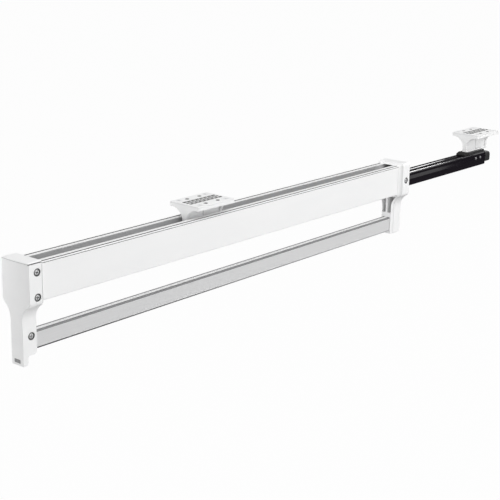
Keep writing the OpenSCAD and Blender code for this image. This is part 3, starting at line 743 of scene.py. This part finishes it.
# Runner. A drawn steel bar stands on the channel's floor, held by five flush screws from below, and
# the balls roll in the round track along each side of its head.
drawn_steel, place = start_finish("drawn_steel", {"Metallic": 1.0})
drawn = place.drawn_out(700, 6, 700)
lay_finish(
    drawn_steel,
    drawn.spots(1.0, detail=5),
    ((0.48, 0.49, 0.51), (0.6, 0.61, 0.62)),
    0.26 + 0.16 * drawn.spots(2.0, detail=3),
    drawn.spots(1.4, detail=3),
    0.008 * mm,
)
fitted(crisp(joined_up("drawn_runner", "runner")), drawn_steel, "pull_out", "slide_steel", "runner")
piece = screws(
    "runner_floor_screws", [((0, y, foot + 1.5 * mm), (0, 0, -1)) for y in floor_screws], zinc,
    2.9 * mm, 1.5 * mm, 1.5 * mm, 3.65 * mm, under=1.5 * mm, dome=0.0, cross=0.7 * mm, seed=6,
)
fitted(piece, None, "pull_out", "screw_steel", "runner_screws")


# Front bracket. One moulding holds the channel in a deep socket, necks down to a leg that takes the
# bar, and runs on into the finger grip. Its front is slightly crowned and its edges are soft.
def bracket_outline(half, leg, top, shoulder, neck, foot, corner, soft):
    """Block, curved neck and leg, from X and Z sizes, with soft shoulders."""
    radius = ((half - leg) ** 2 + (shoulder - neck) ** 2) / (2 * (half - leg))
    sweep = math.asin((shoulder - neck) / radius) - soft / radius
    curve = [
        (leg + radius - radius * math.cos(t), neck + radius * math.sin(t))
        for t in (sweep * (1 - k / 14) for k in range(15))
    ]
    side = bent((half - corner, top), (half, top), (half, top - corner), 6)
    side += bent((half, shoulder + soft), (half, shoulder), curve[0], 7) + curve[1:]
    return both_sides([*side, (leg, foot)])


bracket_low, bracket_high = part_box("front_bracket")
bar_low, bar_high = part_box("hanging_bar")
strip_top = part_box("bar_strip")[1][2]
gap, lead_in, block, leg = 0.02 * mm, 0.7 * mm, bracket_high[0], 7.1 * mm
block_top, shoulder, neck, leg_foot = bracket_high[2], -46.6 * mm, -59.8 * mm, -89.8 * mm
face_y, back_y, grip_foot = bracket_low[1], bracket_high[1], bracket_low[2]
outline = bracket_outline(block, leg, block_top, shoulder, neck, grip_foot, 2.6 * mm, 3.4 * mm)
bracket = prism("front_end_bracket", outline, face_y, back_y)
grip_back, foot_round, grip_round, inside = face_y + 5.6 * mm, 3.6 * mm, 3 * mm, 1.4 * mm
under = [(back_y + 2 * mm, grip_foot - mm), (grip_back - grip_round, grip_foot - mm)]
under += bent(
    (grip_back - grip_round, grip_foot), (grip_back, grip_foot), (grip_back, grip_foot + grip_round), 7
)
under += bent((grip_back, leg_foot - inside), (grip_back, leg_foot), (grip_back + inside, leg_foot), 5)
under += bent((back_y - foot_round, leg_foot), (back_y, leg_foot), (back_y, leg_foot + foot_round), 8)
under.append((back_y + 2 * mm, leg_foot + foot_round))
carve(bracket, [prism("cutter", under, -20 * mm, 20 * mm, "X")])
ease(bracket, 0.45 * mm, angle=50, rows=4)
shape = bmesh.new()
shape.from_mesh(bracket.data)
for k in range(-9, 10):
    front = [f for f in shape.faces if all(v.co.y < face_y + 0.005 * mm for v in f.verts)]
    touched = {e for f in front for e in f.edges} | {v for f in front for v in f.verts}
    bmesh.ops.bisect_plane(
        shape, geom=front + list(touched), plane_co=(k * 1.65 * mm, 0, 0), plane_no=(1, 0, 0)
    )
crown = 151.7 * mm
for vertex in shape.verts:
    share = min(1.0, max(0.0, 1 - (vertex.co.y - face_y) / (5 * mm)))
    vertex.co.y += share * (crown - math.sqrt(crown ** 2 - vertex.co.x ** 2))
shape.to_mesh(bracket.data)
shape.free()
screw_y, screw_deep, screw_seat = -207.4 * mm, 2.3 * mm, 3.3 * mm
screw_rows = ((-19.4 * mm, block), (-39.9 * mm, block), (-74.0 * mm, leg))


def side_seats(y, rows):
    return [((side * (face - screw_deep), y, z), (side, 0, 0)) for z, face in rows for side in (-1, 1)]


def seat_cutters(y, rows):
    """Shallow round seats with a small lead-in at the mouth."""
    cutters = []
    for z, face in rows:
        for side in (-1, 1):
            out = side * (face + 2 * mm)
            cutters.append(drill("X", y, z, screw_seat, side * (face - screw_deep), out))
            cutters.append(drill("X", y, z, screw_seat + 0.25 * mm, side * (face - 0.3 * mm), out))
    return cutters


cutters = [
    box("cutter", channel_low[0] - gap, channel_high[0] + gap, channel_low[1] - gap, back_y + mm,
        channel_low[2] - gap, channel_high[2] + gap),
    box("cutter", channel_low[0] - lead_in, channel_high[0] + lead_in, back_y - 1.5 * mm, back_y + mm,
        channel_low[2] - lead_in, channel_high[2] + lead_in),
    box("cutter", bar_low[0] - gap, bar_high[0] + gap, bar_low[1] - gap, back_y + mm,
        bar_low[2] - gap, strip_top + gap),
]
badge_low, badge_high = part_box("grip_badge")
cutters.append(
    box("cutter", badge_low[0] - 0.1 * mm, badge_high[0] + 0.1 * mm, face_y - mm, face_y + 0.45 * mm,
        badge_low[2] - 0.1 * mm, badge_high[2] + 0.1 * mm)
)
seam = [k * 1.65 * mm for k in range(-11, 12)]
seam = [(x, face_y + 0.3 * mm + crown - math.sqrt(crown ** 2 - x ** 2)) for x in seam]
seam += [(18.15 * mm, face_y - mm), (-18.15 * mm, face_y - mm)]
cutters.append(prism("cutter", seam, block_top - 1.15 * mm, block_top - 0.85 * mm, "Z"))
for x in (-block, block):
    cutters.append(
        box("cutter", x - 1.3 * mm, x + 1.3 * mm, face_y + 0.3 * mm, back_y + mm,
            block_top - 1.5 * mm, block_top - 0.7 * mm)
    )
    cutters.append(
        box("cutter", x - 0.3 * mm, x + 0.3 * mm, back_y - 0.9 * mm, back_y - 0.5 * mm,
            shoulder + 3 * mm, block_top - 3 * mm)
    )
carve(bracket, cutters + seat_cutters(screw_y, screw_rows))


def seat_shade(place, y, rows):
    """The parts of a bracket that lie down in its screw seats, and a dark tone for them, which is painted
    shade.
    """
    x, over_y = abs(place.axis(0)), place.axis(1) - y
    inside = 0
    for z, face in rows:
        over_z = place.axis(2) - z
        near = over_y * over_y + over_z * over_z < (screw_seat + 0.1 * mm) ** 2
        inside = inside + near * (x < face - 0.35 * mm) * (x > face - screw_deep - 0.1 * mm)
    return inside, (0.2, 0.2, 0.2)


front_white, place = start_finish("front_white", {"Metallic": 0.0, "IOR": 1.5})
x, y, z = abs(place.axis(0)), place.axis(1), place.axis(2)
# The seams along the top and the line near the back are fine grooves, and their dark tones are painted
# shade.
front_seam_shade = (z > block_top - 1.17 * mm) * (z < block_top - 0.83 * mm) * (y < face_y + 1.3 * mm)
side_seam_shade = (z > block_top - 1.52 * mm) * (z < block_top - 0.68 * mm) * (x > block - 1.33 * mm)
rear_line_shade = (y > back_y - 0.92 * mm) * (y < back_y - 0.48 * mm) * (x > block - 0.33 * mm)
painted_shades = [
    seat_shade(place, screw_y, screw_rows),
    (side_seam_shade * (y > face_y + 0.3 * mm), (0.2, 0.2, 0.2)),
    (front_seam_shade, (0.5, 0.5, 0.5)),
    (rear_line_shade * (x < block - 0.01 * mm), (0.5, 0.5, 0.5)),
]
lay_moulded(front_white, place, over=painted_shades)
fitted(crisp(bracket), front_white, "pull_out", "white_moulding", "front_bracket")


# Side screws of the brackets. Pan heads with a cross recess sit in round seats, three a side at the
# front and one a side at the back.
rear_low, rear_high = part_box("rear_bracket")
rear_rows = ((-30 * mm, block),)
# Where each head sits down in its seat, its side is painted dark: painted shade in the gap around it.
screw_tall, seat_gap_shade = 2 * mm, 0
shaded_seat_zinc, place = start_finish("shaded_seat_zinc", {"Metallic": 0.4})
for z, face in screw_rows + rear_rows:
    near = abs(place.axis(2) - z) < 4 * mm
    seat_gap_shade = seat_gap_shade + near * (abs(place.axis(0)) < face - screw_deep + screw_tall - 0.2 * mm)
lay_zinc(shaded_seat_zinc, place, over=[(seat_gap_shade, (0.2, 0.2, 0.2))])
for name, y, rows, length, seed, node in (
    ("front_block_screws", screw_y, screw_rows[:2], 4 * mm, 8, "front_bracket_screws"),
    ("front_leg_screws", screw_y, screw_rows[2:], 2.1 * mm, 7, "front_bracket_screws"),
    ("rear_block_screws", rear_high[1] - 6.2 * mm, rear_rows, 4 * mm, 9, "rear_bracket_screws"),
):
    piece = screws(
        name, side_seats(y, rows), shaded_seat_zinc, 2.6 * mm, screw_tall, 1.75 * mm, length, dome=0.3,
        cross=1.5 * mm, seed=seed,
    )
    fitted(piece, None, "pull_out", "screw_steel", node)


# Grip inlay. A small blank plate of grey plastic set in the front of the grip.
inlay_grey, place = start_finish("inlay_grey", {"Metallic": 0.0, "IOR": 1.45})
lay_finish(
    inlay_grey,
    place.spots(500, detail=3),
    ((0.22, 0.22, 0.225), (0.34, 0.34, 0.34)),
    0.36 + 0.16 * place.spots(900, detail=2),
    place.drawn_out(3000, 300, 3000).spots(1.0, detail=2),
    0.01 * mm,
)
inlay = crisp(ease(joined_up("grip_inlay", "grip_badge"), 0.12 * mm, rows=2))
fitted(inlay, inlay_grey, "pull_out", "grey_badge", "grip_badge")


# Rear bracket. The same moulding turned round: the fixed rail passes through its window, its leg is
# hollowed in front on both sides of a rib, and a tab inside the channel meets the opening stop.
face_y, back_y, flare = channel_high[1] - 14.4 * mm, rear_high[1], 4.6 * mm
outline = bracket_outline(block, leg, block_top, shoulder, neck, leg_foot, 2.6 * mm, 3.4 * mm)
sleeve = bracket_outline(
    channel_high[0] + 0.35 * mm, bar_high[0] + 1.5 * mm, channel_high[2] + 0.35 * mm, shoulder + 0.3 * mm,
    neck + 0.3 * mm, leg_foot, 1.2 * mm, 2 * mm,
)


def lofted(name, rings):
    """A closed solid through outlines of equal length, each at its own place along Y."""
    shape = bmesh.new()
    loops = [[shape.verts.new((a, y, b)) for a, b in ring] for ring, y in rings]
    for near, far in zip(loops, loops[1:]):
        for k in range(len(near)):
            shape.faces.new((near[k - 1], far[k - 1], far[k], near[k]))
    shape.faces.new(loops[0])
    shape.faces.new(loops[-1][::-1])
    bmesh.ops.recalc_face_normals(shape, faces=shape.faces)
    return shown(name, shape)


rings = [
    ([(a + (c - a) * share, b + (d - b) * share) for (a, b), (c, d) in zip(sleeve, outline)], y)
    for share, y in bent((0, face_y), (0, face_y + flare), (1, face_y + flare), 9)
]
bracket = lofted("rear_end_bracket", [*rings, (outline, back_y)])
turn = bent((back_y - foot_round, leg_foot), (back_y, leg_foot), (back_y, leg_foot + foot_round), 8)
under = [(back_y - foot_round, leg_foot - mm), *turn, (back_y + mm, leg_foot + foot_round)]
carve(bracket, [prism("cutter", [*under, (back_y + mm, leg_foot - mm)], -20 * mm, 20 * mm, "X")])
ease(bracket, 0.5 * mm, angle=48, rows=4)
sweep = ((block - leg) ** 2 + (shoulder - neck) ** 2) / (2 * (block - leg))
rim, rib_half = 1.5 * mm, 0.95 * mm
shell = sweep + rim
pocket_foot, pocket_top = bar_high[2] + 5.4 * mm, shoulder - 1.4 * mm
curve = [
    (leg + sweep - math.sqrt(shell ** 2 - (z - neck) ** 2), z)
    for z in (neck + (pocket_top - neck) * k / 10 for k in range(11))
]
pocket = [(rib_half, pocket_foot), (leg - rim, pocket_foot), *curve, (rib_half, pocket_top)]
window = (rail_high[0] + 0.6 * mm, rail_low[2] - 0.6 * mm, rail_high[2] + 0.6 * mm)
turn = bent((window[0], window[2] - 2.6 * mm), (window[0], window[2]), (window[0] - 2.6 * mm, window[2]), 6)
cutters = [
    box("cutter", channel_low[0] - gap, channel_high[0] + gap, face_y - mm, channel_high[1] + gap,
        channel_low[2] - gap, channel_high[2] + gap),
    box("cutter", bar_low[0] - gap, bar_high[0] + gap, face_y - mm, bar_high[1] + gap,
        bar_low[2] - gap, strip_top + gap),
    prism("cutter", both_sides([(window[0], window[1]), *turn]), face_y, back_y + mm),
]
cutters += [
    prism("cutter", [(side * x, z) for x, z in pocket], face_y - mm, back_y - 2.6 * mm) for side in (-1, 1)
]
carve(bracket, cutters + seat_cutters(back_y - 6.2 * mm, rear_rows))
tab = box("cutter", -5.5 * mm, 5.5 * mm, rear_low[1], channel_high[1] + 0.3 * mm, rail_high[2] + 1.4 * mm,
          rail_high[2] + 7.4 * mm)
carve(bracket, [ease(tab, 0.4 * mm)], "UNION")
rear_white, place = start_finish("rear_white", {"Metallic": 0.0, "IOR": 1.5})
# The rear screw seat is painted dark too, as painted shade.
lay_moulded(rear_white, place, over=[seat_shade(place, back_y - 6.2 * mm, rear_rows)])
fitted(crisp(bracket), rear_white, "pull_out", "white_moulding", "rear_bracket")


# Hanging bar. A flat satin anodised aluminium extrusion with a fine line low on each side, dull shoulders
# painted dark as painted shade, and a ribbed pale plastic strip in its top, which keeps hangers from
# sliding.
half, foot, top = bar_high[0], bar_low[2], bar_high[2]
satin_bar, place = start_finish("satin_bar", {"Metallic": 0.25, "IOR": 1.5})
drawn, x, z = place.drawn_out(900, 7, 900), abs(place.axis(0)), place.axis(2)
# The shoulders beside the strip are painted dark: painted shade.
shoulder_shade = (z > top - 1.2 * mm) * (x > 1.8 * mm)
# The lower edge of each side is painted dark as painted shade, fading towards the back end.
foot_shade = (z < foot + 1.4 * mm) * (0.7 - 1.2 * place.axis(1))
lay_finish(
    satin_bar,
    drawn.spots(1.0, detail=6, rough=0.7),
    ((0.74, 0.742, 0.748), (0.84, 0.84, 0.842)),
    0.26 + 0.14 * drawn.spots(1.6, detail=4) + 0.4 * shoulder_shade,
    drawn.spots(1.2, detail=5, rough=0.7),
    0.006 * mm,
    over=[(shoulder_shade, (0.26, 0.26, 0.265)), (foot_shade, (0.04, 0.04, 0.042))],
)
side = bent((half - 0.7 * mm, foot), (half, foot), (half, foot + 0.7 * mm), 5)
side += [(half, foot + 1.6 * mm), (half - 0.2 * mm, foot + 1.7 * mm), (half - 0.2 * mm, foot + 2.1 * mm)]
side += [(half, foot + 2.2 * mm), *bent((half, top - 0.9 * mm), (half, top), (half - 0.9 * mm, top), 6)]
side += [(1.9 * mm, top), (1.9 * mm, top - 1.7 * mm)]
bar = ease(prism("satin_hanging_bar", both_sides(side), bar_low[1], bar_high[1]), 0.08 * mm, rows=2)
fitted(crisp(bar), satin_bar, "pull_out", "satin_bar", "hanging_bar")
strip_plastic, place = start_finish("strip_plastic", {"Metallic": 0.0, "IOR": 1.45})
ribs = place.through("ShaderNodeTexWave", {"Vector": place, "Scale": 180.0}, result=1, bands_direction="X")
lay_finish(
    strip_plastic,
    place.spots(200, detail=3),
    ((0.9, 0.902, 0.905), (0.95, 0.95, 0.948)),
    0.42 + 0.16 * place.spots(400, detail=3),
    ribs + 0.2 * place.spots(2500),
    0.06 * mm,
)
cap = [(1.95 * mm, top + 0.02 * mm), (1.85 * mm, top + 0.1 * mm), (1.1 * mm, top + 0.14 * mm)]
outline = both_sides([(1.8 * mm, top - 1.65 * mm), (1.8 * mm, top + 0.02 * mm), *cap])
strip = prism("grip_strip", outline, bar_low[1], bar_high[1])
fitted(crisp(strip), strip_plastic, "pull_out", "pale_strip", "bar_strip")
piece = screws(
    "bar_end_screw", [((0, rear_high[1], (foot + top) / 2), (0, 1, 0))], zinc,
    2.9 * mm, 1.8 * mm, 1.4 * mm, 11 * mm, cross=0.8 * mm, seed=11,
)
fitted(piece, None, "pull_out", "screw_steel", "rear_bar_screw")


# Studio. A floor lies well below the rail in an even room. The camera sees both as white, and
# reflections see them dark near and below the horizon. Six soft lamps give the part its shape.
floor_shape = bmesh.new()
bmesh.ops.create_grid(floor_shape, x_segments=1, y_segments=1, size=30)
for vertex in floor_shape.verts:
    vertex.co.z = -0.42
floor = shown("studio_floor", floor_shape)
floor_paint, place = start_finish("floor_paint", {"Roughness": 0.9})
tree = floor_paint.node_tree
rays = tree.nodes.new("ShaderNodeLightPath").outputs
seen, mirrored, passed = (
    Grain(tree, rays[f"Is {kind} Ray"]) for kind in ("Camera", "Glossy", "Transmission")
)
paint = tree.nodes["Principled BSDF"]
shade = blended(mirrored, (0.5, 0.5, 0.5, 1), (0.08, 0.08, 0.08, 1))
tree.links.new(shade.socket, paint.inputs["Base Color"])
white = tree.nodes.new("ShaderNodeEmission")
white.inputs["Color"].default_value = (1, 1, 1, 1)
mixed = seen.through(
    "ShaderNodeMixShader",
    {0: (seen + passed) * 0.97, 1: Grain(tree, paint.outputs[0]), 2: Grain(tree, white.outputs[0])},
)
tree.links.new(mixed.socket, tree.nodes["Material Output"].inputs["Surface"])
floor.data.materials.append(floor_paint)

room = bpy.data.worlds.new("room")
room.use_nodes = True
scene.world = room
tree = room.node_tree
rays = tree.nodes.new("ShaderNodeLightPath").outputs
seen, mirrored = Grain(tree, rays["Is Camera Ray"]), Grain(tree, rays["Is Glossy Ray"])
height = Grain(tree, tree.nodes.new("ShaderNodeTexCoord").outputs["Generated"]).axis(2)
upper = height.through(
    "ShaderNodeMapRange",
    {"Value": height, "From Min": 0.32, "From Max": 0.6, "To Min": 0.06, "To Max": 1.3},
)
strength = 0.58 + seen * 0.405 + mirrored * (upper - 0.58)
tree.links.new(strength.socket, tree.nodes["Background"].inputs["Strength"])
tree.nodes["Background"].inputs["Color"].default_value = (1, 1, 1, 1)

for name, spot, aim, wide, tall, energy in (
    ("key", (1.3, 0.3, 0.8), (0, 0.1, -0.03), 1.2, 1.2, 8.3),
    ("overhead", (0.1, -0.5, 1.7), (0, -0.1, 0), 1.4, 1.4, 6.5),
    ("side_rear", (1.35, 1.43, 0.3), (0, 0.3, -0.03), 1.25, 1.0, 6.4),
    ("side_low", (1.4, -0.5, -0.15), (0, 0, -0.05), 1.2, 0.5, 2),
    ("front_fill", (-1.4, -0.9, 0.1), (0, -0.15, -0.05), 1.0, 1.0, 13),
    ("back_strip", (0.5, 2.2, 1.3), (0, 0.3, 0), 1.7, 0.12, 14),
):
    lamp = bpy.data.objects.new(name, bpy.data.lights.new(name, "AREA"))
    lamp.data.shape = "RECTANGLE"
    lamp.data.size, lamp.data.size_y, lamp.data.energy = wide, tall, energy
    facing = (Vector(spot) - Vector(aim)).to_track_quat("Z", "Y")
    lamp.matrix_world = Matrix.Translation(spot) @ facing.to_matrix().to_4x4()
    scene.collection.objects.link(lamp)
